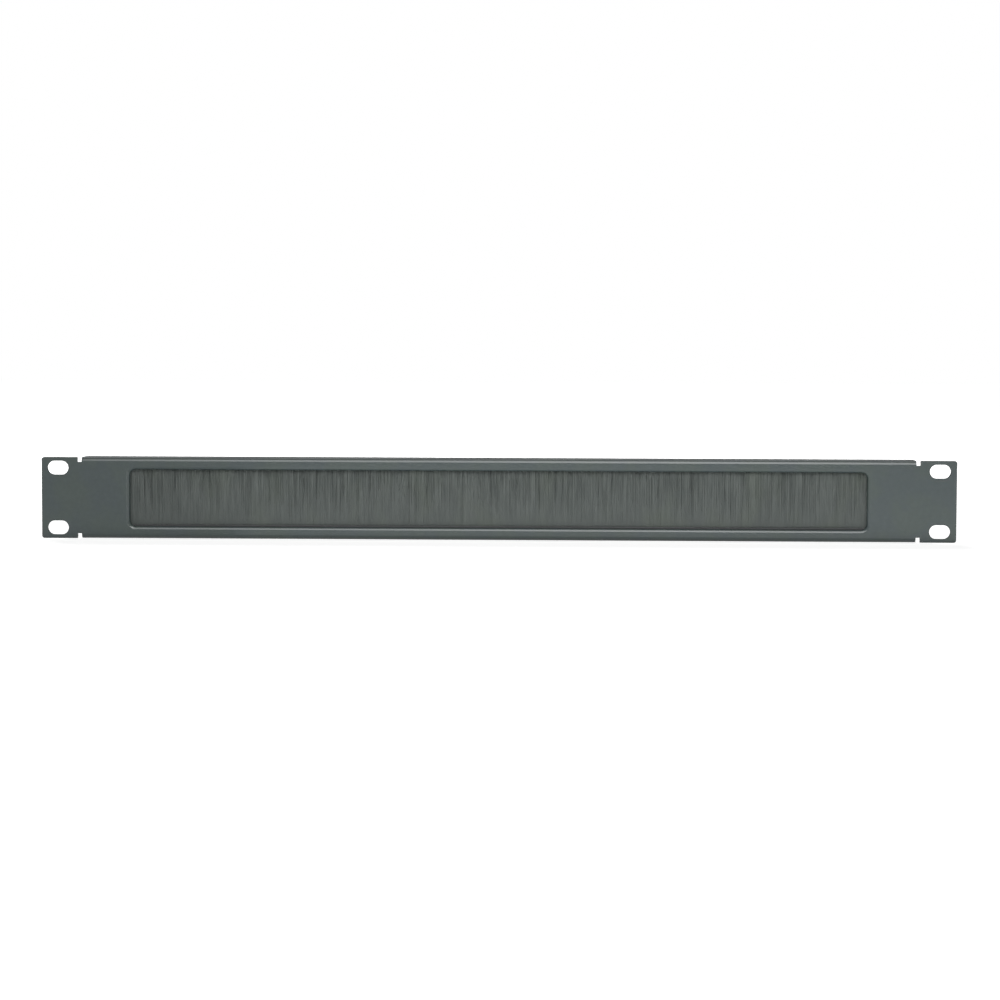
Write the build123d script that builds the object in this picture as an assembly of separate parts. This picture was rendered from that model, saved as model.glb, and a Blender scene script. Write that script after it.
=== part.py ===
"""Brush blanking panel for a 19-inch rack: a folded sheet front with one strip brush across its window.

Millimetres. +X runs along the panel, +Y into the rack, +Z up. The origin is the centre of the four
rack slots on the rear face of the ears, which is the face that lies against the rack's rails.
"""

from build123d import *
from random import Random
import os

# Rack standard
rack_unit = 44.45
panel_gap = 1.45  # what a panel is lower than its rack unit
hole_inset = 6.35  # rack unit's edge to its outer hole
panel_width = 482.6
slot_inset = 8.74  # panel's end to the middle of its slots

# Sheet and folds
sheet = 1.5
bend_inner_r = 1.0
ear_width = 19.1
ear_corner_r = 1.4
edge_break = 0.3  # front edge of ears and slots, broken after punching
relief_width = 2.2
relief_past_bend = 0.1  # how far the relief notch runs on past the fold
flange_corner_r = 2.0
slot_length = 11.0
slot_width = 7.3

# Window and its drawn collar
window_side_margin = 25.5  # flange's end to the window
window_edge_margin = 6.5  # panel's top or bottom edge to the window
window_corner_r = 3.0
collar_inner_r = 0.5  # rear radius where the sheet turns into the collar
collar_land = 0.5  # straight end of the collar, past its roll

# Strip brush
brush_overlap = 5.5  # how far the brush runs on past each end of the window
channel_width = 3.6
channel_height = 4.65
channel_upright = 3.45  # height at which the crimped legs start to lean in
channel_sheet = 0.5
channel_mouth = 1.8  # between the crimped legs
wire_d = 1.1
wire_lift = 0.45  # filaments folded under the wire
tip_overlap = 2.5  # how far the tips reach behind the window's top rim
tip_thickness = 4.4  # the brush fans out from its channel to its tips
tuft_pitch = 4.0
ridges_per_tuft = 2
ridge_least = 0.15  # how far a ridge of filaments stands out from the grooves beside it
ridge_most = 0.4
tip_unevenness = 0.9
gap_width = 1.1  # notch between two tufts, at the tips
gap_depth_least = 2.0
gap_depth_most = 7.5
brush_seed = 11

# Holder rail and rivets
rail_wall = 0.8
rail_clearance = 0.1  # around the channel in its pocket
rail_lip = 0.7  # thickness of the two lips that keep the channel down
rail_mouth = 3.15  # between those lips
rail_lip_height = 4.3  # pocket floor to the underside of the lips
rail_edge_r = 0.3
leg_land = 0.25  # beside a rivet's upset end
flange_past_leg = 2.8
rivet_count = 5
rivet_end_margin = 8.0
rivet_d = 2.4
rivet_clearance = 0.05
rivet_head_d = 4.6
rivet_head_depth = 0.7
rivet_upset_d = 3.8
rivet_upset_height = 1.4
rivet_upset_bevel = 0.5
rivet_bore_d = 1.3
rivet_bore_depth = 2.0

# Sizes that follow
panel_height = rack_unit - panel_gap
slot_spacing_x = panel_width - 2 * slot_inset
slot_spacing_z = rack_unit - 2 * hole_inset
bend_outer_r = bend_inner_r + sheet
relief_depth = bend_outer_r + relief_past_bend
ears_inner_x = panel_width / 2 - ear_width
flange_length = 2 * (ears_inner_x - relief_width)
flange_inside_z = panel_height / 2 - sheet
window_width = flange_length - 2 * window_side_margin
window_height = panel_height - 2 * window_edge_margin
collar_roll_r = collar_inner_r + sheet
collar_depth = collar_roll_r + collar_land  # panel's front face to the end of the collar
collar_end_y = collar_depth - sheet
brush_length = window_width + 2 * brush_overlap

pocket_width = channel_width + 2 * rail_clearance
pocket_start_y = collar_end_y + rail_wall
brush_y = pocket_start_y + pocket_width / 2
leg_start_y = pocket_start_y + pocket_width + rail_wall
leg_width = rivet_upset_d + 2 * leg_land
rivet_y = leg_start_y + leg_width / 2
flange_rear_y = leg_start_y + leg_width + flange_past_leg
flange_depth = flange_rear_y + sheet

rail_bottom_z = -flange_inside_z
pocket_floor_z = rail_bottom_z + rail_wall
rail_height = rail_wall + rail_lip_height + rail_lip
channel_mouth_z = pocket_floor_z + channel_height
tips_z = window_height / 2 + tip_overlap
wire_z = pocket_floor_z + channel_sheet + wire_lift + wire_d / 2
tuft_count = round(brush_length / tuft_pitch)
tuft_width = brush_length / tuft_count
rivet_pitch = (brush_length - 2 * rivet_end_margin) / (rivet_count - 1)

along_panel = Plane.YZ
seen_from_front = Plane.XZ


def run_along(section, length):
    """A section in Y and Z, run the same way to both sides of the middle of the panel."""
    return extrude(along_panel * section, amount=length / 2, both=True)


def flat_ears_and_web():
    """The sheet as it lies in one plane, without the strips that are folded back."""
    outline = RectangleRounded(panel_width, panel_height, ear_corner_r)
    strip = Rectangle(2 * ears_inner_x, relief_depth)
    strip_offset = (panel_height - relief_depth) / 2
    for side in (1, -1):
        outline -= Pos(0, side * strip_offset) * strip
    return extrude(seen_from_front * outline, amount=sheet)


def folded_stretch():
    """The web between the ears with its top and bottom return flanges."""
    outside = Pos(flange_depth / 2 - sheet, 0) * Rectangle(flange_depth, panel_height)
    outside = fillet(outside.vertices().group_by(Axis.X)[0], bend_outer_r)
    inside = Pos(flange_depth / 2, 0) * Rectangle(flange_depth, 2 * flange_inside_z)
    inside = fillet(inside.vertices().group_by(Axis.X)[0], bend_inner_r)
    stretch = run_along(outside - inside, flange_length)
    free_corners = stretch.edges().filter_by(Axis.Z).group_by(Axis.Y)[-1]
    return fillet(free_corners, flange_corner_r)


def window_outline(grow):
    """The window's outline, grown evenly on all sides."""
    return RectangleRounded(
        window_width + 2 * grow, window_height + 2 * grow, window_corner_r + grow
    )


def window_edges(panel, y, grow):
    """The loop of edges that the grown window's outline makes at one depth."""
    half_x = window_width / 2 + grow
    half_z = window_height / 2 + grow
    tolerance = 0.01

    def on_loop(edge):
        middle = edge.position_at(0.5)
        end = edge.position_at(0)
        flat = all(abs(p.Y - y) < tolerance for p in (middle, end))
        inside = abs(middle.X) < half_x + tolerance and abs(middle.Z) < half_z + tolerance
        return flat and inside

    return panel.edges().filter_by(on_loop)


def with_window(panel):
    """Cuts the window and turns its rim back into a collar of the sheet's own thickness."""
    panel -= extrude(seen_from_front * window_outline(0), amount=sheet)
    ring = window_outline(sheet) - window_outline(0)
    panel += extrude(seen_from_front.offset(sheet) * ring, amount=-collar_depth)
    panel = fillet(window_edges(panel, -sheet, 0), collar_roll_r)
    return fillet(window_edges(panel, 0, sheet), collar_inner_r)


def with_slots(panel):
    """Cuts the four rack slots and breaks the front edges of slots and ears."""
    slots = Sketch() + [
        place * SlotOverall(slot_length, slot_width)
        for place in GridLocations(slot_spacing_x, slot_spacing_z, 2, 2)
    ]
    panel -= extrude(seen_from_front * slots, amount=sheet)

    def on_ear_front(edge):
        middle = edge.position_at(0.5)
        return abs(middle.X) > ears_inner_x + edge_break and abs(middle.Y + sheet) < edge_break / 2

    return chamfer(panel.edges().filter_by(on_ear_front), edge_break)


def rivet_places():
    """Where the rivets' axes meet the outer face of the lower flange."""
    return [
        Pos(place.position.X, rivet_y, -panel_height / 2)
        for place in GridLocations(rivet_pitch, 0, rivet_count, 1)
    ]


def rivet_shank(clearance):
    """A rivet's countersunk head and shank, from its head's face up, grown by a clearance round the shank."""
    upward = (Align.CENTER, Align.CENTER, Align.MIN)
    shank_r = rivet_d / 2 + clearance
    shank = Cylinder(shank_r, sheet + rail_wall, align=upward)
    return shank + Cone(rivet_head_d / 2, rivet_d / 2, rivet_head_depth, align=upward)


def make_front_panel():
    """Folded sheet front: ears, slots, return flanges, relief notches, window and collar."""
    panel = flat_ears_and_web() + folded_stretch()
    panel = with_slots(with_window(panel))
    for place in rivet_places():
        panel -= place * rivet_shank(rivet_clearance)
    return panel


def make_brush_holder():
    """Extruded rail: a lipped pocket for the brush channel, a heel that clears the fold, and a riveted leg."""
    upward = (Align.MIN, Align.MIN)
    body_width = pocket_width + 2 * rail_wall
    profile = Rectangle(body_width, rail_height, align=upward)
    heel = profile.vertices().group_by(Axis.Y)[0].sort_by(Axis.X)[0]
    profile = fillet(heel, bend_inner_r)
    profile = fillet(profile.vertices().group_by(Axis.Y)[-1], rail_edge_r)
    leg_root = body_width - rail_wall
    profile += Pos(leg_root, 0) * Rectangle(rail_wall + leg_width, rail_wall, align=upward)
    profile -= Pos(rail_wall, rail_wall) * Rectangle(pocket_width, rail_lip_height, align=upward)
    mouth_start = (body_width - rail_mouth) / 2
    profile -= Pos(mouth_start, rail_wall) * Rectangle(rail_mouth, rail_height, align=upward)
    rail = run_along(Pos(collar_end_y, rail_bottom_z) * profile, brush_length)
    for place in rivet_places():
        rail -= place * rivet_shank(rivet_clearance)
    return rail


def channel_section(inset):
    """The crimped channel's section, outside at no inset and inside at an inset of its sheet."""
    half_width = channel_width / 2 - inset
    half_mouth = channel_mouth / 2 + channel_sheet - inset
    profile = Polygon(
        (-half_width, inset),
        (half_width, inset),
        (half_width, channel_upright),
        (half_mouth, channel_height),
        (-half_mouth, channel_height),
        (-half_width, channel_upright),
        align=None,
    )
    return Pos(brush_y, pocket_floor_z) * profile


def make_brush_channel():
    """Crimped U channel of the strip brush."""
    outside = channel_section(0)
    outside = fillet(outside.vertices().group_by(Axis.Y)[0], channel_sheet)
    return run_along(outside - channel_section(channel_sheet), brush_length)


def make_core_wire():
    """Wire that the filaments are folded round."""
    return run_along(Pos(brush_y, wire_z) * Circle(wire_d / 2), brush_length)


def ridge_row(thickness, z):
    """Outline of the brush at one height: a groove and a crest for each ridge, alike in front and behind."""
    draw = Random(brush_seed)
    ridge_count = tuft_count * ridges_per_tuft
    ridge_width = brush_length / ridge_count
    groove = thickness / 2 - ridge_most
    side = []
    for i in range(ridge_count):
        x = -brush_length / 2 + i * ridge_width
        crest = groove + draw.uniform(ridge_least, ridge_most)
        side += [(x, groove), (x + ridge_width / 2, crest)]
    side.append((brush_length / 2, groove))
    front = [(x, -half) for x, half in side]
    return Pos(0, brush_y, z) * Polygon(*front, *reversed(side), align=None)


def uneven_tips():
    """Outline, seen from the front, whose top edge is the tufts' uneven tips with notches between them."""
    draw = Random(brush_seed)
    heights = [tips_z - draw.uniform(0, tip_unevenness) for _ in range(tuft_count)]
    heights[tuft_count // 2] = tips_z
    left = -brush_length / 2
    points = [(left, channel_mouth_z), (left, heights[0])]
    for i in range(1, tuft_count):
        x = left + i * tuft_width
        bottom = tips_z - draw.uniform(gap_depth_least, gap_depth_most)
        points.append((x - gap_width / 2, heights[i - 1]))
        points.append((x, bottom))
        points.append((x + gap_width / 2, heights[i]))
    points += [(-left, heights[-1]), (-left, channel_mouth_z)]
    return Polygon(*points, align=None)


def make_bristles():
    """The filaments as one ridged wall, fanned out towards notched tips, with its root round the wire."""
    fan = loft([ridge_row(channel_mouth, channel_mouth_z), ridge_row(tip_thickness, tips_z)], ruled=True)
    comb = extrude(seen_from_front.offset(-brush_y) * uneven_tips(), amount=tip_thickness, both=True)
    root = run_along(channel_section(channel_sheet), brush_length) - make_core_wire()
    return (fan & comb) + root


def make_holder_rivets():
    """Blind rivets, each set with its countersunk head flush and its far end upset on the rail's leg."""
    upward = (Align.CENTER, Align.CENTER, Align.MIN)
    upset = Cylinder(rivet_upset_d / 2, rivet_upset_height, align=upward)
    upset = chamfer(upset.edges().group_by(Axis.Z)[-1], rivet_upset_bevel)
    rivet = rivet_shank(0) + Pos(0, 0, sheet + rail_wall) * upset
    rivet -= Cylinder(rivet_bore_d / 2, rivet_bore_depth, align=upward)
    return Compound(children=[place * rivet for place in rivet_places()])


os.makedirs("parts", exist_ok=True)
export_step(make_front_panel(), "parts/front_panel.step")
export_step(make_brush_holder(), "parts/brush_holder.step")
export_step(make_brush_channel(), "parts/brush_channel.step")
export_step(make_core_wire(), "parts/core_wire.step")
export_step(make_bristles(), "parts/bristles.step")
export_step(make_holder_rivets(), "parts/holder_rivets.step")
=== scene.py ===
"""Looks of a rack blanking panel with a strip brush across its window.

Metres, in the frame of the solids: +X along the panel, +Y into the rack, +Z up.
"""

import logging
import math
from dataclasses import dataclass
from enum import Enum
from typing import Any, ClassVar, Optional, Union

import bmesh
import bpy
import numpy as np
from mathutils import Matrix, Vector


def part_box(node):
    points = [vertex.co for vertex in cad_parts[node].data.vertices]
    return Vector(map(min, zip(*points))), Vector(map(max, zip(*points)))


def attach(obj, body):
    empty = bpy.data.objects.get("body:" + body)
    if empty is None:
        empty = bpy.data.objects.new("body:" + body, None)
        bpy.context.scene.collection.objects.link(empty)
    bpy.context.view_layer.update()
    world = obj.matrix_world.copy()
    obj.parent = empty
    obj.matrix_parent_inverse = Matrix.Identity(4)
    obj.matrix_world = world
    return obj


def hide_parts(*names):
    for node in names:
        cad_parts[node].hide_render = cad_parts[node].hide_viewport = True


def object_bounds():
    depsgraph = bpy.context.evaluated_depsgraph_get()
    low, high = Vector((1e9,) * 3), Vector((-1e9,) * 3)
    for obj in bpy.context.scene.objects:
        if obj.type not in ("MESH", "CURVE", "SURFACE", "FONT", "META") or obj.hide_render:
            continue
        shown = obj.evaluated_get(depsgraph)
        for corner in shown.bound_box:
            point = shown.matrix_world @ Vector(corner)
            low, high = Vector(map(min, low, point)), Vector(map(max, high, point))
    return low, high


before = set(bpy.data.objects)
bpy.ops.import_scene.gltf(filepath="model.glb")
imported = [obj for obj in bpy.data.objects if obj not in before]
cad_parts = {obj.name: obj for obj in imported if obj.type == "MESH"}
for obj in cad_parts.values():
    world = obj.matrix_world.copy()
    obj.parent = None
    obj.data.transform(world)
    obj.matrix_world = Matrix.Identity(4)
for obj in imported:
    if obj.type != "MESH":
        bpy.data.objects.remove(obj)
SOLID_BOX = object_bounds()

LOG = logging.getLogger("brush_panel")
BODY = "root"
MM = 0.001
FLOOR = SOLID_BOX[0].z
WELD = 0.002 * MM
NOISE_MIDDLE = 0.5

Colour = tuple[float, float, float]
Point = tuple[float, float, float]
Span = tuple[float, float]
Value = Union[float, tuple, "Signal"]


class Slot(Enum):
    """The record's material slots."""

    COAT = "slate_powder_coat"
    NYLON = "grey_nylon"
    GALVANISED = "galvanised_steel"
    ANODISED = "black_anodised"
    RIVET = "rivet_aluminium"


class Signal:
    """A shader socket that ordinary arithmetic works on."""

    def __init__(self, bench: "Bench", socket: bpy.types.NodeSocket) -> None:
        """Keeps the socket and the bench that adds its Math nodes."""
        self.bench = bench
        self.socket = socket

    def _math(self, operation: str, first: Value, second: Value) -> "Signal":
        """One Math node on two values."""
        return self.bench.node("ShaderNodeMath", {"operation": operation}, {0: first, 1: second})

    def __add__(self, other: Value) -> "Signal":
        """self + other"""
        return self._math("ADD", self, other)

    def __sub__(self, other: Value) -> "Signal":
        """self - other"""
        return self._math("SUBTRACT", self, other)

    def __rsub__(self, other: Value) -> "Signal":
        """other - self"""
        return self._math("SUBTRACT", other, self)

    def __mul__(self, other: Value) -> "Signal":
        """self * other"""
        return self._math("MULTIPLY", self, other)

    def __or__(self, other: Value) -> "Signal":
        """The larger of self and other, which is a logical or on masks."""
        return self._math("MAXIMUM", self, other)

    __radd__ = __add__
    __rmul__ = __mul__
    __ror__ = __or__


class Bench:
    """The node tree of a material or the world."""

    def __init__(self, owner: Union[bpy.types.Material, bpy.types.World]) -> None:
        """Opens a node tree.

        Args:
            owner: the material or the world that it belongs to.
        """
        owner.use_nodes = True
        self.owner = owner
        self.tree = owner.node_tree

    def node(
        self,
        kind: str,
        settings: Optional[dict[str, Any]] = None,
        sockets: Optional[dict[Union[int, str], Value]] = None,
        output: Union[int, str] = 0,
    ) -> Signal:
        """Adds one node.

        Args:
            kind: the node's type.
            settings: its own properties, which are set first; "stops" holds a ramp's stops.
            sockets: a value or a link for each socket, by name or number.
            output: the output to hand back.

        Returns:
            The chosen output.
        """
        made = self.tree.nodes.new(kind)
        for name, value in (settings or {}).items():
            if name == "stops":
                self._set_stops(made.color_ramp, value)
            else:
                setattr(made, name, value)
        for name, value in (sockets or {}).items():
            self.feed(made.inputs[name], value)
        return Signal(self, made.outputs[output])

    @staticmethod
    def _set_stops(ramp: bpy.types.ColorRamp, stops: list[tuple[float, float]]) -> None:
        """Gives a ramp its stops.

        Args:
            ramp: the ramp.
            stops: a place and a level of grey for each stop.
        """
        while len(ramp.elements) < len(stops):
            ramp.elements.new(1.0)
        for element, (place, level) in zip(ramp.elements, stops):
            element.position = place
            element.color = (level, level, level, 1.0)

    def feed(self, socket: bpy.types.NodeSocket, value: Value) -> None:
        """Links a signal to a socket, or sets the socket's own value.

        Args:
            socket: the socket.
            value: the signal or the value.
        """
        if isinstance(value, Signal):
            self.tree.links.new(value.socket, socket)
        else:
            socket.default_value = value

    def place(self, stretch: Point = (1.0, 1.0, 1.0)) -> Signal:
        """Object coordinates, for a pattern to follow.

        Args:
            stretch: how many times longer the pattern is drawn out along each axis.

        Returns:
            The coordinates.
        """
        spot = self.node("ShaderNodeTexCoord", output="Object")
        scale = tuple(1.0 / s for s in stretch)
        return self.node("ShaderNodeMapping", {}, {"Vector": spot, "Scale": scale})

    def noise(self, place: Signal, size: float, detail: float = 2.0, roughness: float = 0.5) -> Signal:
        """Cloudy noise from 0 to 1 with spots of about the given size."""
        sockets = {"Vector": place, "Scale": 1.0 / size, "Detail": detail, "Roughness": roughness}
        return self.node("ShaderNodeTexNoise", {}, sockets)

    def blend(self, low: Union[Colour, Signal], high: Union[Colour, Signal], share: Signal) -> Signal:
        """A colour that goes from low to high with the share."""
        ends = [end if isinstance(end, Signal) else (*end, 1.0) for end in (low, high)]
        return self.node("ShaderNodeMix", {"data_type": "RGBA"}, {0: share, 6: ends[0], 7: ends[1]}, output=2)

    def mottle(self, colour: Colour, levels: Span, share: Signal) -> Signal:
        """A colour that goes from its darker to its lighter level with the share."""
        low, high = (shade(colour, level) for level in levels)
        return self.blend(low, high, share)

    def bump(self, height: Signal, depth: float) -> Signal:
        """A normal from a height of 0 to 1 that stands for depth in metres."""
        return self.node("ShaderNodeBump", {}, {"Strength": 1.0, "Distance": depth, "Height": height})

    def finish(self, **sockets: Value) -> bpy.types.Material:
        """Feeds the Principled shader.

        Args:
            sockets: values or links, with underscores for the spaces in the sockets' names.

        Returns:
            The finished material.
        """
        shader = self.tree.nodes["Principled BSDF"]
        for name, value in sockets.items():
            self.feed(shader.inputs[name.replace("_", " ")], value)
        return self.owner


def new_bench(slot: Slot) -> Bench:
    """A bench for the material of one slot."""
    return Bench(bpy.data.materials.new(slot.value))


def shade(colour: Colour, level: float) -> Colour:
    """A colour made lighter or darker."""
    return tuple(channel * level for channel in colour)


def between(span: Span, share: Signal) -> Signal:
    """A number that goes from the span's first end to its second with the share."""
    first, last = span
    return first + (last - first) * share


@dataclass(frozen=True)
class PowderCoat:
    """Baked powder paint in slate grey, satin, with a fine orange-peel grain."""

    green: Colour = (0.0345, 0.048, 0.044)
    blue: Colour = (0.0325, 0.045, 0.046)
    hue_band: Span = (0.42, 0.58)  # levels of the clouds between which green turns to blue
    levels: Span = (0.84, 1.16)
    roughness: Span = (0.17, 0.29)
    gloss: float = 0.5
    grain: float = 0.42 * MM
    grain_depth: float = 0.003 * MM
    peel: float = 2.2 * MM
    peel_depth: float = 0.006 * MM
    peel_share: float = 0.5
    cloud: float = 18 * MM

    def material(self) -> bpy.types.Material:
        """Mixes the paint: cloudy hue, speckled tone and a rippled surface.

        Returns:
            The material.
        """
        bench = new_bench(Slot.COAT)
        place = bench.place()
        grain = bench.noise(place, self.grain, detail=2.0, roughness=0.6)
        peel = bench.noise(place, self.peel, detail=1.0)
        cloud = bench.noise(place, self.cloud, detail=3.0)
        first, last = self.hue_band
        hue = bench.node("ShaderNodeValToRGB", {"stops": [(first, 0.0), (last, 1.0)]}, {0: cloud})
        dark, light = (
            bench.blend(shade(self.green, level), shade(self.blue, level), hue) for level in self.levels
        )
        tone = self.peel_share * peel + (1 - self.peel_share) * grain
        height = grain * (self.grain_depth / self.peel_depth) + peel
        return bench.finish(
            Base_Color=bench.blend(dark, light, tone),
            Roughness=between(self.roughness, grain),
            Specular_IOR_Level=self.gloss,
            Normal=bench.bump(height, self.peel_depth),
        )


@dataclass(frozen=True)
class NylonFilament:
    """Grey nylon monofilament, a little different from one filament to the next."""

    dark: Colour = (0.057, 0.066, 0.0625)
    light: Colour = (0.092, 0.104, 0.0975)
    olive: Colour = (0.0735, 0.0865, 0.071)
    olive_band: Span = (0.52, 0.72)  # levels of the patches between which the olive comes in
    olive_most: float = 0.45
    roughness: Span = (0.46, 0.56)
    gloss: float = 0.4
    patch: float = 16 * MM
    patch_run: float = 2.0
    streak: float = 2.2 * MM
    streak_run: float = 7.0
    streak_level: float = 1.5
    streak_from: float = -30 * MM  # height at which the streaks would start
    streak_full: float = 4 * MM  # height from which they show in full

    def material(self) -> bpy.types.Material:
        """Mixes the nylon: each filament's own shade, which holds painted shade towards the roots, short
        streaks and faint greenish patches.

        Returns:
            The material.
        """
        bench = new_bench(Slot.NYLON)
        own = bench.node("ShaderNodeAttribute", {"attribute_name": StripBrush.shade_name}, output="Fac")
        patch = bench.noise(bench.place((1.0, 1.0, self.patch_run)), self.patch, detail=2.0)
        along = bench.place((1.0, self.streak_run, self.streak_run))
        streak = bench.noise(along, self.streak, detail=1.0)
        height = bench.node("ShaderNodeSeparateXYZ", {}, {0: bench.place()}, output="Z")
        reach = bench.node(
            "ShaderNodeMapRange",
            {},
            {"Value": height, "From Min": self.streak_from, "From Max": self.streak_full},
        )
        tone = own + (streak - NOISE_MIDDLE) * reach * self.streak_level
        plain = bench.blend(self.dark, self.light, tone)
        first, last = self.olive_band
        stops = [(first, 0.0), (last, self.olive_most)]
        tint = bench.node("ShaderNodeValToRGB", {"stops": stops}, {0: patch})
        return bench.finish(
            Base_Color=bench.blend(plain, self.olive, tint),
            Roughness=between(self.roughness, patch),
            Specular_IOR_Level=self.gloss,
        )


@dataclass(frozen=True)
class BlackAnodised:
    """Extruded aluminium with a black anodised skin, which still shows the die's lines along it."""

    colour: Colour = (0.022, 0.023, 0.024)
    levels: Span = (0.7, 1.3)
    roughness: Span = (0.3, 0.5)
    gloss: float = 0.35
    line: float = 0.16 * MM
    line_run: float = 260.0
    line_depth: float = 0.004 * MM
    line_share: float = 0.55
    cloud: float = 7 * MM
    cloud_run: float = 3.0

    def material(self) -> bpy.types.Material:
        """Mixes the black skin: die lines and faint clouds.

        Returns:
            The material.
        """
        bench = new_bench(Slot.ANODISED)
        lines = bench.noise(bench.place((self.line_run, 1.0, 1.0)), self.line, detail=3.0, roughness=0.6)
        cloud = bench.noise(bench.place((self.cloud_run, 1.0, 1.0)), self.cloud, detail=4.0)
        tone = self.line_share * lines + (1 - self.line_share) * cloud
        return bench.finish(
            Base_Color=bench.mottle(self.colour, self.levels, tone),
            Roughness=between(self.roughness, tone),
            Specular_IOR_Level=self.gloss,
            Normal=bench.bump(lines, self.line_depth),
        )


@dataclass(frozen=True)
class GalvanisedSteel:
    """Zinc-coated strip with soft spangles."""

    colour: Colour = (0.52, 0.54, 0.55)
    levels: Span = (0.8, 1.2)
    roughness: Span = (0.32, 0.48)
    spangle: float = 5 * MM
    spangle_run: float = 1.6
    spangle_blur: float = 0.3
    spangle_share: float = 0.6
    ripple: float = 2 * MM
    ripple_depth: float = 0.006 * MM

    def material(self) -> bpy.types.Material:
        """Mixes the zinc: patches of crystals with slightly different tones.

        Returns:
            The material.
        """
        bench = new_bench(Slot.GALVANISED)
        place = bench.place((self.spangle_run, 1.0, 1.0))
        ripple = bench.noise(place, self.ripple, detail=3.0)
        cells = bench.node(
            "ShaderNodeTexVoronoi",
            {"feature": "SMOOTH_F1"},
            {"Vector": place, "Scale": 1.0 / self.spangle, "Smoothness": self.spangle_blur},
        )
        tone = self.spangle_share * cells + (1 - self.spangle_share) * ripple
        return bench.finish(
            Base_Color=bench.mottle(self.colour, self.levels, tone),
            Metallic=1.0,
            Roughness=between(self.roughness, tone),
            Normal=bench.bump(ripple, self.ripple_depth),
        )


@dataclass(frozen=True)
class RivetAluminium:
    """Cold-headed aluminium, dulled by the die and scuffed by the setting tool."""

    colour: Colour = (0.60, 0.61, 0.62)
    levels: Span = (0.75, 1.2)
    roughness: Span = (0.28, 0.48)
    scuff: float = 0.5 * MM
    scuff_run: float = 6.0
    scuff_depth: float = 0.008 * MM
    scuff_share: float = 0.5
    cloud: float = 2 * MM

    def material(self) -> bpy.types.Material:
        """Mixes the metal: fine scuffs over soft clouds.

        Returns:
            The material.
        """
        bench = new_bench(Slot.RIVET)
        scuff = bench.noise(bench.place((1.0, self.scuff_run, 1.0)), self.scuff, detail=4.0, roughness=0.65)
        cloud = bench.noise(bench.place(), self.cloud, detail=2.0)
        tone = self.scuff_share * scuff + (1 - self.scuff_share) * cloud
        return bench.finish(
            Base_Color=bench.mottle(self.colour, self.levels, tone),
            Metallic=1.0,
            Roughness=between(self.roughness, scuff),
            Normal=bench.bump(scuff, self.scuff_depth),
        )


def show(name: str, mesh: bpy.types.Mesh, slot: Slot, *nodes: str) -> bpy.types.Object:
    """Puts a finished mesh in the scene as a piece of the panel.

    Args:
        name: the piece's name.
        mesh: its mesh, in place.
        slot: the material slot that its finish belongs to; not used.
        nodes: the solids that it stands for.

    Returns:
        The piece's object.
    """
    piece = bpy.data.objects.new(name, mesh)
    bpy.context.scene.collection.objects.link(piece)
    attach(piece, BODY)
    if nodes:
        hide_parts(*nodes)
    return piece


def welded_mesh(node: str, name: str, sharp: float) -> bpy.types.Mesh:
    """A welded copy of a solid's mesh, so that its bends shade as one surface.

    Args:
        node: the solid to copy.
        name: the new mesh's name.
        sharp: the angle in degrees from which an edge stays sharp.

    Returns:
        The mesh.
    """
    skin = bmesh.new()
    skin.from_mesh(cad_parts[node].data)
    bmesh.ops.remove_doubles(skin, verts=skin.verts, dist=WELD)
    for face in skin.faces:
        face.smooth = True
    for edge in skin.edges:
        edge.smooth = edge.is_manifold and edge.calc_face_angle(0.0) < math.radians(sharp)
    mesh = bpy.data.meshes.new(name)
    skin.to_mesh(mesh)
    skin.free()
    return mesh


@dataclass
class MetalWork:
    """The folded front, the holder rail, the crimped channel with its wire, and the rivets."""

    sharp: float = 38.0
    flat_weight: int = 100  # how far large faces outweigh small ones in the shading, at most 100

    def dress(self) -> list[bpy.types.Object]:
        """Gives each metal piece its smooth skin and its finish.

        Returns:
            The pieces.
        """
        galvanised = GalvanisedSteel().material()
        finishes = {
            "front_panel": (Slot.COAT, PowderCoat().material()),
            "brush_holder": (Slot.ANODISED, BlackAnodised().material()),
            "brush_channel": (Slot.GALVANISED, galvanised),
            "core_wire": (Slot.GALVANISED, galvanised),
            "holder_rivets": (Slot.RIVET, RivetAluminium().material()),
        }
        return [self._dress_one(node, slot, finish) for node, (slot, finish) in finishes.items()]

    def _dress_one(self, node: str, slot: Slot, finish: bpy.types.Material) -> bpy.types.Object:
        """Shows one welded copy in its finish, with normals that keep the flats flat.

        Args:
            node: the solid to copy.
            slot: its material slot.
            finish: its material.

        Returns:
            The piece.
        """
        piece = show(f"{node}_skin", welded_mesh(node, f"{node}_skin", self.sharp), slot, node)
        piece.data.materials.clear()
        piece.data.materials.append(finish)
        weights = piece.modifiers.new("flat_first", "WEIGHTED_NORMAL")
        weights.keep_sharp = True
        weights.weight = self.flat_weight
        return piece


class Row(Enum):
    """Rows of filaments from the front of the brush to its rear.

    Each is a row's depth and how far its filaments spread about it, as shares of half the thickness.
    """

    FRONT = (-0.94, 0.12)
    INNER_FRONT = (-0.72, 0.12)
    MIDDLE = (0.0, 0.55)
    INNER_REAR = (0.72, 0.12)
    REAR = (0.94, 0.12)

    @property
    def depth(self) -> float:
        """How far behind the middle of the brush the row stands."""
        return self.value[0]

    @property
    def spread(self) -> float:
        """How far the filaments stray from the row's depth."""
        return self.value[1]


@dataclass(frozen=True)
class Gathering:
    """How a row's filaments gather: each one's lock and tuft, and whether it strays from them."""

    lock: np.ndarray
    locks: int
    tuft: np.ndarray
    tufts: int
    stray: np.ndarray


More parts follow.
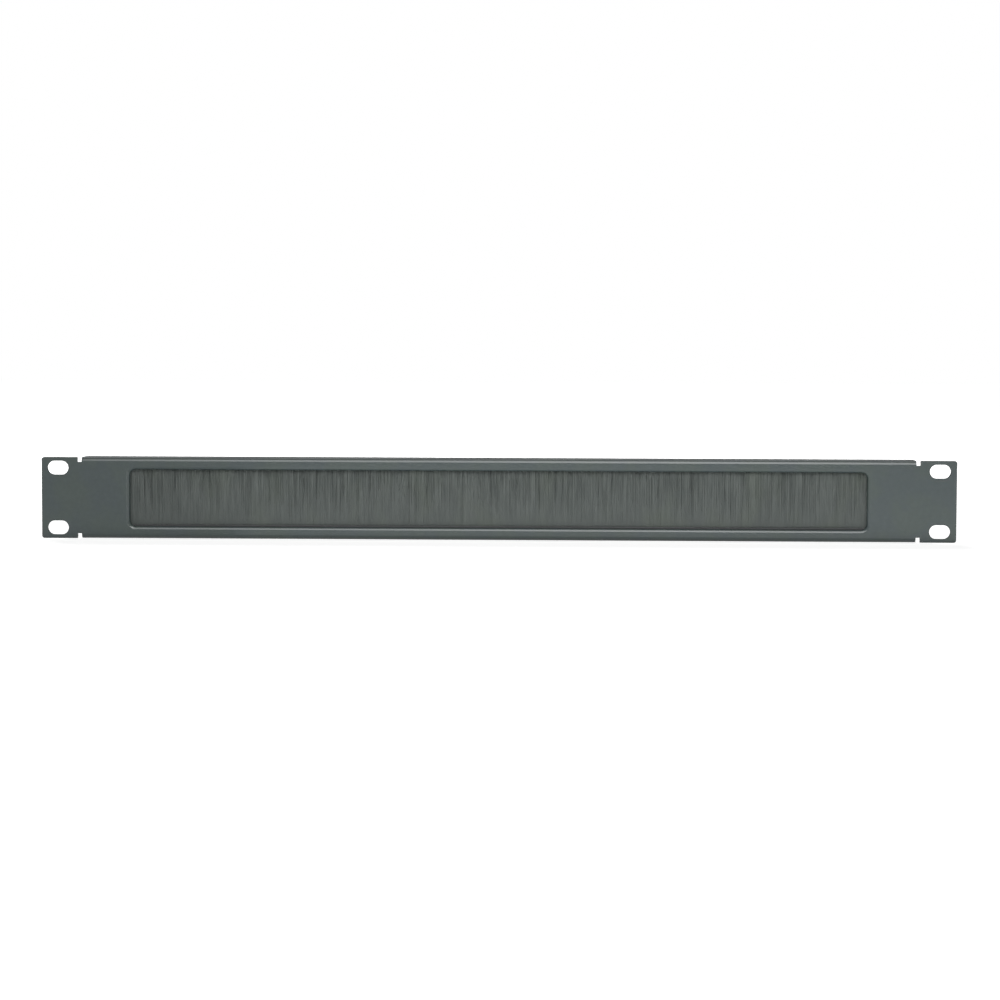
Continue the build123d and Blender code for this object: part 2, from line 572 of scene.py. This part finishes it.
@dataclass
class StripBrush:
    """Loose filaments that stand in the crimped channel and fan out towards their tips.

    Neighbours gather in small tufts and in wider locks, which lean and bulge as one. Each power says how
    late a bend comes on the way from the root to the tip.
    """

    shade_name: ClassVar[str] = "shade"
    map_name: ClassVar[str] = "OFBake"
    map_margin: float = 0.001
    filaments: int = 4200
    diameter: float = 0.3 * MM
    root_depth: float = 2.0 * MM
    mouth_half: float = 0.75 * MM
    tip_half: float = 2.1 * MM
    root_order: float = 0.35  # share of the spread that is left where the channel grips the roots
    stations: tuple[float, ...] = (0.0, 0.34, 0.58, 0.79, 1.0)
    lock_least: float = 1.4 * MM
    lock_typical: float = 4.2 * MM
    pull_most: float = 0.14  # how far tips are drawn to the middle of their lock, as a share of the way
    pull_bias: float = 2.2  # the higher it is, the fewer locks are drawn in hard
    pull_power: float = 2.2
    lock_lean: float = 0.18 * MM
    lock_power: float = 1.6
    lock_bulge: float = 0.2 * MM
    bulge_turn: float = 2.2  # radians of the bulge's sine from root to tip
    tuft_least: float = 0.6 * MM
    tuft_typical: float = 0.9 * MM
    tuft_lean: float = 0.16 * MM
    own_lean: float = 0.16 * MM
    own_power: float = 1.3
    stray_share: float = 0.02
    stray_lean: float = 2.2 * MM
    stray_tone: float = 0.25
    tip_uneven: float = 1.3 * MM
    tip_bias: int = 2  # the higher it is, the fewer tips fall short
    lock_tone: float = 0.05
    tuft_tone: float = 0.09
    tuft_carry: float = 0.2  # how much of a tuft's tone runs on from one station to the next
    own_tone: float = 0.02
    root_share: float = 0.2  # share of the tones that shows at the roots
    root_painted_shade: float = 0.05  # painted shade: the filaments are made darker towards their roots, low in the window
    tip_level: float = 0.5  # shade of the loose tips
    seed: int = 27

    def build(self) -> list[bpy.types.Object]:
        """Makes every row of the brush.

        Returns:
            One piece for each row.
        """
        finish = NylonFilament().material()
        pieces = []
        for number, row in enumerate(Row):
            rng = np.random.default_rng(self.seed + number)
            paths, gathering = self._paths(row, rng)
            shades = self._shades(gathering, rng)
            mesh = self._tubes(f"bristles_{row.name.lower()}", paths)
            self._mark(mesh, shades)
            self._map(mesh)
            mesh.materials.append(finish)
            pieces.append(show(mesh.name, mesh, Slot.NYLON, "bristles"))
        return pieces

    @staticmethod
    def _groups(
        root: np.ndarray, least: float, typical: float, rng: np.random.Generator
    ) -> tuple[np.ndarray, np.ndarray]:
        """Gathers neighbouring filaments into groups of uneven width.

        Args:
            root: the filaments' places along the brush, in order.
            least: the least width of a group.
            typical: the typical width beyond that.
            rng: the row's own random numbers.

        Returns:
            Each filament's group, and each group's middle along the brush.
        """
        borders = [root[0] - least]
        while borders[-1] < root[-1]:
            borders.append(borders[-1] + least + rng.exponential(typical))
        edges = np.array(borders)
        return np.searchsorted(edges, root) - 1, (edges[1:] + edges[:-1]) / 2

    def _paths(self, row: Row, rng: np.random.Generator) -> tuple[np.ndarray, Gathering]:
        """Works out how each filament of a row runs from its root to its tip.

        Args:
            row: the row.
            rng: the row's own random numbers.

        Returns:
            The filaments' points, as filament by point by axis, and how the filaments gather.
        """
        low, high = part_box("bristles")
        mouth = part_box("brush_channel")[1].z
        middle = (low.y + high.y) / 2
        count = self.filaments
        spare = self.diameter / 2
        room = high.x - low.x - 2 * spare
        root = low.x + spare + room * (np.arange(count) + rng.random(count)) / count

        lock, lock_middle = self._groups(root, self.lock_least, self.lock_typical, rng)
        locks = len(lock_middle)
        pull = self.pull_most * rng.random(locks) ** self.pull_bias
        lock_lean = rng.normal(0.0, self.lock_lean, locks)
        bulge = rng.normal(0.0, self.lock_bulge, locks)
        tuft, tuft_middle = self._groups(root, self.tuft_least, self.tuft_typical, rng)
        tufts = len(tuft_middle)
        tuft_lean = rng.normal(0.0, self.tuft_lean, tufts)

        stray = rng.random(count) < self.stray_share
        tidy_lean = rng.normal(0.0, self.own_lean, count) + tuft_lean[tuft]
        own_lean = np.where(stray, rng.normal(0.0, self.stray_lean, count), tidy_lean)
        own_depth = row.spread * (2 * rng.random(count) - 1)
        tip = high.z - spare - self.tip_uneven * rng.random(count) ** self.tip_bias

        rise = np.array(self.stations)[None, :]
        gather = (pull[lock] * (lock_middle[lock] - root))[:, None] * rise**self.pull_power
        sway = lock_lean[lock][:, None] * rise**self.lock_power + own_lean[:, None] * rise**self.own_power
        half = self.mouth_half + (self.tip_half - self.mouth_half) * rise
        depth = row.depth + own_depth[:, None] * (self.root_order + (1 - self.root_order) * rise)
        swell = bulge[lock][:, None] * np.sin(rise * self.bulge_turn)
        points = np.stack(
            [
                root[:, None] + gather + sway,
                middle + depth * half + swell,
                mouth + (tip[:, None] - mouth) * rise,
            ],
            axis=2,
        )
        first = points[:, :1, :] - np.array([0.0, 0.0, self.root_depth])
        points = np.concatenate([first, points], axis=1)
        points[:, :, 0] = np.clip(points[:, :, 0], low.x + spare, high.x - spare)
        points[:, :, 1] = np.clip(points[:, :, 1], low.y + spare, high.y - spare)
        return points, Gathering(lock, locks, tuft, tufts, stray)

    def _shades(self, gathering: Gathering, rng: np.random.Generator) -> np.ndarray:
        """Works out how light each filament is along its way, with painted shade that darkens it towards the
        roots and livelier tones at the tips.

        Args:
            gathering: how the row's filaments gather.
            rng: the row's own random numbers.

        Returns:
            The shade at each point, as filament by point.
        """
        climb = np.array([0.0, *self.stations])
        tone = self._tuft_tones(gathering.tufts, len(climb), rng)[gathering.tuft]
        tone += rng.normal(0.0, self.lock_tone, gathering.locks)[gathering.lock][:, None]
        own = rng.normal(0.0, self.own_tone, self.filaments)
        tone += (own + self.stray_tone * gathering.stray)[:, None]
        # painted shade: the level falls from the tips' shade to the darker shade given to the roots
        level = self.root_painted_shade + (self.tip_level - self.root_painted_shade) * climb
        share = self.root_share + (1 - self.root_share) * climb
        return np.clip(level + tone * share, 0.0, 1.0)

    def _tuft_tones(self, tufts: int, points: int, rng: np.random.Generator) -> np.ndarray:
        """Tones of the tufts, which drift from point to point as tufts pass before each other.

        Args:
            tufts: the number of tufts.
            points: the number of points along a filament.
            rng: the row's own random numbers.

        Returns:
            The tones, as tuft by point.
        """
        fresh = rng.normal(0.0, self.tuft_tone, (tufts, points))
        tones = fresh.copy()
        for point in range(1, points):
            kept = self.tuft_carry * tones[:, point - 1]
            tones[:, point] = kept + math.sqrt(1 - self.tuft_carry**2) * fresh[:, point]
        return tones

    def _tubes(self, name: str, paths: np.ndarray) -> bpy.types.Mesh:
        """Turns the paths into thin four-sided filaments with closed ends, shaded round.

        Args:
            name: the mesh's name.
            paths: the filaments' points.

        Returns:
            One mesh with all of them.
        """
        curve = bpy.data.curves.new(name, "CURVE")
        curve.dimensions = "3D"
        curve.bevel_depth = self.diameter / 2
        curve.bevel_resolution = 0
        weights = np.ones((paths.shape[1], 1))
        for path in paths:
            spline = curve.splines.new("POLY")
            spline.points.add(len(path) - 1)
            spline.points.foreach_set("co", np.hstack([path, weights]).ravel())
        holder = bpy.data.objects.new(name, curve)
        bpy.context.scene.collection.objects.link(holder)
        bpy.context.view_layer.update()
        mesh = bpy.data.meshes.new_from_object(holder.evaluated_get(bpy.context.evaluated_depsgraph_get()))
        mesh.name = name
        bpy.data.objects.remove(holder)
        bpy.data.curves.remove(curve)
        shape = bmesh.new()
        shape.from_mesh(mesh)
        bmesh.ops.holes_fill(shape, edges=[edge for edge in shape.edges if edge.is_boundary], sides=4)
        shape.to_mesh(mesh)
        shape.free()
        mesh.shade_smooth()
        return mesh

    def _mark(self, mesh: bpy.types.Mesh, shades: np.ndarray) -> None:
        """Stores the filaments' shades, the same all round a filament.

        Args:
            mesh: the row's mesh.
            shades: the shade at each point of its filaments.
        """
        ring = len(mesh.vertices) // shades.size
        layer = mesh.attributes.new(self.shade_name, "FLOAT", "POINT")
        layer.data.foreach_set("value", np.repeat(shades.ravel(), ring).astype(np.float32))

    def _map(self, mesh: bpy.types.Mesh) -> None:
        """Gives a row one map, of the brush as seen from the front.

        Args:
            mesh: the row's mesh.
        """
        low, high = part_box("bristles")
        corners = np.empty(len(mesh.loops), np.int32)
        mesh.loops.foreach_get("vertex_index", corners)
        places = np.empty(len(mesh.vertices) * 3, np.float32)
        mesh.vertices.foreach_get("co", places)
        places = places.reshape(-1, 3)[corners]
        for old in list(mesh.uv_layers):
            mesh.uv_layers.remove(old)
        layer = mesh.uv_layers.new(name=self.map_name)
        flat = np.stack(
            [
                (places[:, 0] - low.x) / (high.x - low.x),
                (places[:, 2] - low.z) / (high.z - low.z),
            ],
            axis=1,
        )
        flat = np.clip(flat, self.map_margin, 1 - self.map_margin)
        layer.data.foreach_set("uv", flat.astype(np.float32).ravel())


@dataclass(frozen=True)
class Softbox:
    """A rectangular studio lamp, which may be left out of the gloss or out of the diffuse light."""

    name: str
    place: Point
    aim: Point
    width: float
    height: float
    radiance: float
    mirrored: bool = True
    diffuse: bool = True

    def hang(self) -> None:
        """Puts the lamp in the scene, out of the camera's sight."""
        lamp = bpy.data.lights.new(self.name, "AREA")
        lamp.shape = "RECTANGLE"
        lamp.size = self.width
        lamp.size_y = self.height
        lamp.energy = self.radiance * math.pi * self.width * self.height
        holder = bpy.data.objects.new(self.name, lamp)
        holder.location = self.place
        way = Vector(self.aim) - Vector(self.place)
        holder.rotation_euler = way.to_track_quat("-Z", "Y").to_euler()
        holder.visible_camera = False
        holder.visible_glossy = self.mirrored
        holder.visible_diffuse = self.diffuse
        bpy.context.scene.collection.objects.link(holder)


@dataclass(frozen=True)
class Studio:
    """A white table in a white room, with soft lamps and a low grey card behind the panel."""

    ambient: float = 0.02
    matt: float = 0.9
    floor_half: float = 6.0
    floor_tone: float = 0.68
    glow_near: float = 0.73
    glow_reach: Span = (0.3, 0.9)
    card_away: float = 0.95
    card_width: float = 3.0
    card_height: float = 0.34
    card_tone: float = 0.2
    lamps: tuple[Softbox, ...] = (
        Softbox(
            "key_left", place=(-0.38, -1.93, 1.74), aim=(-0.38, 0.0, 0.0),
            width=0.76, height=2.00, radiance=4.7, diffuse=False,
        ),
        Softbox(
            "key_right", place=(0.38, -1.93, 1.74), aim=(0.38, 0.0, 0.0),
            width=0.76, height=2.00, radiance=6.2, diffuse=False,
        ),
        Softbox(
            "soft_key", place=(0.0, -1.93, 1.74), aim=(0.0, 0.0, 0.0),
            width=1.52, height=2.00, radiance=2.7, mirrored=False,
        ),
        Softbox(
            "top", place=(0.10, -0.40, 1.10), aim=(0.10, -0.30, 0.0),
            width=0.5, height=0.5, radiance=2.0,
        ),
        Softbox(
            "front_fill", place=(0.04, -0.70, 0.02), aim=(0.04, 0.0, 0.0),
            width=0.52, height=0.08, radiance=17.0, mirrored=False,
        ),
        Softbox(
            "floor_fill", place=(0.05, -0.155, FLOOR + 0.8 * MM), aim=(0.05, -0.155, 1.0),
            width=0.66, height=0.30, radiance=0.8, mirrored=False,
        ),
        Softbox(
            "table_bounce", place=(0.09, -0.155, FLOOR + 1.0 * MM), aim=(0.09, -0.155, 1.0),
            width=0.46, height=0.30, radiance=0.55,
        ),
        Softbox(
            "rear_wash", place=(-0.25, 1.05, 0.80), aim=(0.0, 0.0, 0.0),
            width=1.2, height=0.5, radiance=8.0, mirrored=False,
        ),
    )

    def build(self) -> None:
        """Makes the floor, the card, the room and the lamps."""
        self._lay_floor()
        self._stand_card()
        self._light_room()
        for lamp in self.lamps:
            lamp.hang()

    @staticmethod
    def _seen(bench: Bench) -> Signal:
        """Tells what is seen from what only gives light.

        Args:
            bench: the node tree to add to.

        Returns:
            1 for rays from the camera, from gloss or through a clear piece, and 0 for others.
        """
        kinds = ("Camera", "Glossy", "Transmission")
        camera, gloss, clear = (bench.node("ShaderNodeLightPath", output=f"Is {kind} Ray") for kind in kinds)
        return camera | gloss | clear

    def _paint(self, bench: Bench, tone: float, **glow: Value) -> bpy.types.Material:
        """Dull grey paint of the given tone, with its glow where it has one."""
        grey = (tone, tone, tone, 1.0)
        return bench.finish(Base_Color=grey, Roughness=self.matt, Specular_IOR_Level=0.0, **glow)

    @staticmethod
    def _put_up(name: str, shape: bmesh.types.BMesh, finish: bpy.types.Material) -> bpy.types.Object:
        """Puts a sheet of the studio in the scene.

        Args:
            name: the sheet's name.
            shape: its form, in place, which is freed.
            finish: its material.

        Returns:
            The sheet's object.
        """
        mesh = bpy.data.meshes.new(name)
        shape.to_mesh(mesh)
        shape.free()
        mesh.materials.append(finish)
        sheet = bpy.data.objects.new(name, mesh)
        bpy.context.scene.collection.objects.link(sheet)
        return sheet

    def _lay_floor(self) -> None:
        """A pale floor under the panel, which shows its shadow and is whiter further away."""
        bench = Bench(bpy.data.materials.new("floor_white"))
        away = bench.node("ShaderNodeVectorMath", {"operation": "LENGTH"}, {0: bench.place()}, output="Value")
        near, far = self.glow_reach
        glow = bench.node(
            "ShaderNodeMapRange",
            {"interpolation_type": "SMOOTHSTEP"},
            {"Value": away, "From Min": near, "From Max": far, "To Min": self.glow_near, "To Max": 1.0},
        )
        seen = glow * self._seen(bench)
        finish = self._paint(bench, self.floor_tone, Emission_Color=seen, Emission_Strength=1.0)
        shape = bmesh.new()
        bmesh.ops.create_grid(shape, x_segments=1, y_segments=1, size=self.floor_half)
        bmesh.ops.translate(shape, verts=shape.verts, vec=(0.0, 0.0, FLOOR))
        self._put_up("floor", shape, finish)

    def _stand_card(self) -> None:
        """A card out of the camera's sight, which the top fold mirrors in place of the white room."""
        finish = self._paint(Bench(bpy.data.materials.new("card_grey")), self.card_tone)
        shape = bmesh.new()
        bmesh.ops.create_grid(shape, x_segments=1, y_segments=1, size=self.card_width / 2)
        bmesh.ops.scale(shape, verts=shape.verts, vec=(1.0, self.card_height / self.card_width, 1.0))
        bmesh.ops.rotate(shape, verts=shape.verts, matrix=Matrix.Rotation(math.radians(90), 3, "X"))
        middle = (0.0, self.card_away, FLOOR + self.card_height / 2)
        bmesh.ops.translate(shape, verts=shape.verts, vec=middle)
        self._put_up("card", shape, finish).visible_camera = False

    def _light_room(self) -> None:
        """A room that is white to look at and gives soft light."""
        world = bpy.data.worlds.new("white_room")
        bpy.context.scene.world = world
        bench = Bench(world)
        sky = bench.tree.nodes["Background"]
        bench.feed(sky.inputs["Color"], (1.0, 1.0, 1.0, 1.0))
        bench.feed(sky.inputs["Strength"], between((self.ambient, 1.0), self._seen(bench)))


@dataclass(frozen=True)
class PhotoCamera:
    """The photograph's point of view: nearly square on, a little high and a little to the right."""

    azimuth: float = 1.68
    elevation: float = 3.5
    roll: float = 0.187
    distance: float = 1.3
    zoom: float = 2.4635  # distance over the width of view
    aim: Point = (1.63 * MM, 0.0, -0.22 * MM)
    sensor: float = 36.0

    def place(self) -> None:
        """Makes the camera and gives it to the scene."""
        data = bpy.data.cameras.new("photo")
        data.sensor_width = self.sensor
        data.lens = self.sensor * self.zoom
        camera = bpy.data.objects.new("photo", data)
        bpy.context.scene.collection.objects.link(camera)
        turn, lift = math.radians(self.azimuth), math.radians(self.elevation)
        back = Vector((math.sin(turn) * math.cos(lift), -math.cos(turn) * math.cos(lift), math.sin(lift)))
        right = Vector((math.cos(turn), math.sin(turn), 0.0))
        up = back.cross(right)
        level = Matrix((right, up, back)).transposed()
        spin = Matrix.Rotation(math.radians(self.roll), 3, "Z")
        spot = Matrix.Translation(Vector(self.aim) + back * self.distance)
        camera.matrix_world = spot @ (level @ spin).to_4x4()
        bpy.context.scene.camera = camera


def main() -> None:
    """Builds the panel's looks and the studio."""
    logging.basicConfig(level=logging.INFO, format="%(message)s")
    bpy.context.scene.view_settings.view_transform = "Standard"
    PhotoCamera().place()
    Studio().build()
    for piece in [*MetalWork().dress(), *StripBrush().build()]:
        LOG.info("%s: %d faces", piece.name, len(piece.data.polygons))


if __name__ == "__main__":
    main()
